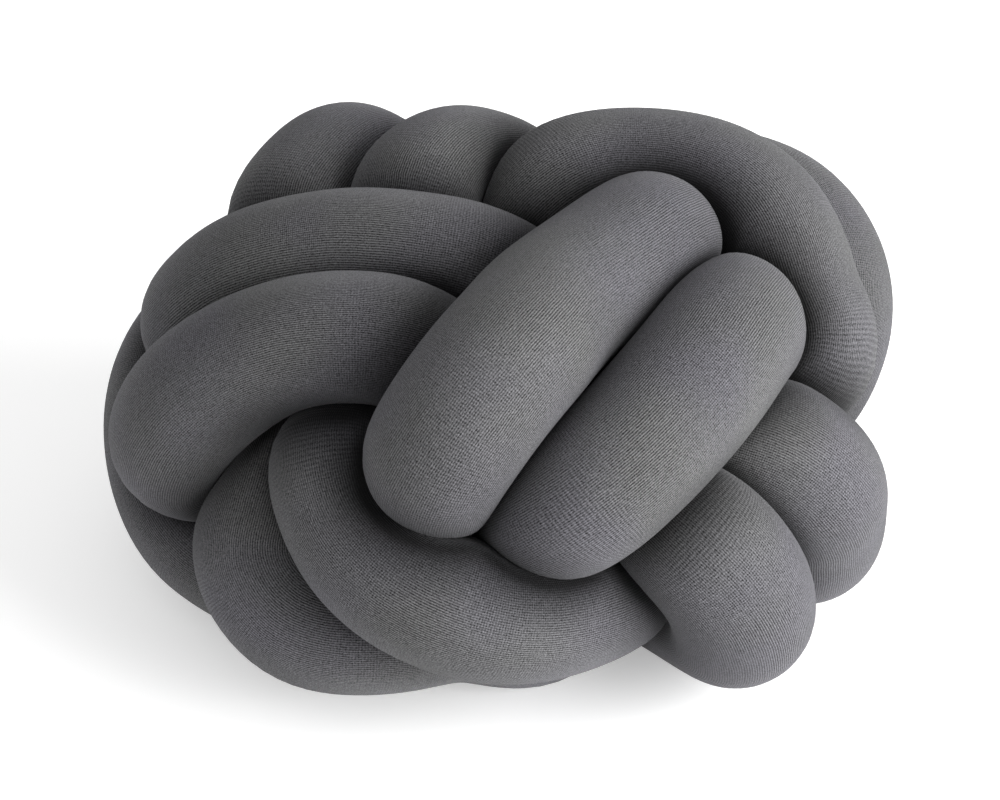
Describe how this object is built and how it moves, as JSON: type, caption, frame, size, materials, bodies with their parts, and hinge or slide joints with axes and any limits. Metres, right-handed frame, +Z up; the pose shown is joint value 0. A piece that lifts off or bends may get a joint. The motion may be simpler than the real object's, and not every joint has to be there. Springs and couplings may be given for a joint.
{
  "type": "knot cushion",
  "caption": "Ball-shaped knot cushion of one long stuffed knitted tube, laid double round a ball knot and drawn up, lying on its flattened base.",
  "frame": {"origin": "middle of the bounding box, at the level it rests on", "axes": "+Z up, +X to the right and -Y toward a person in front of it"},
  "size_m": [0.3124, 0.2812, 0.1936],
  "materials": {
    "knit": "fine plain knit, matt"
  },
  "bodies": {
    "root": {"knot_tube": "knit"}
  },
  "joints": []
}
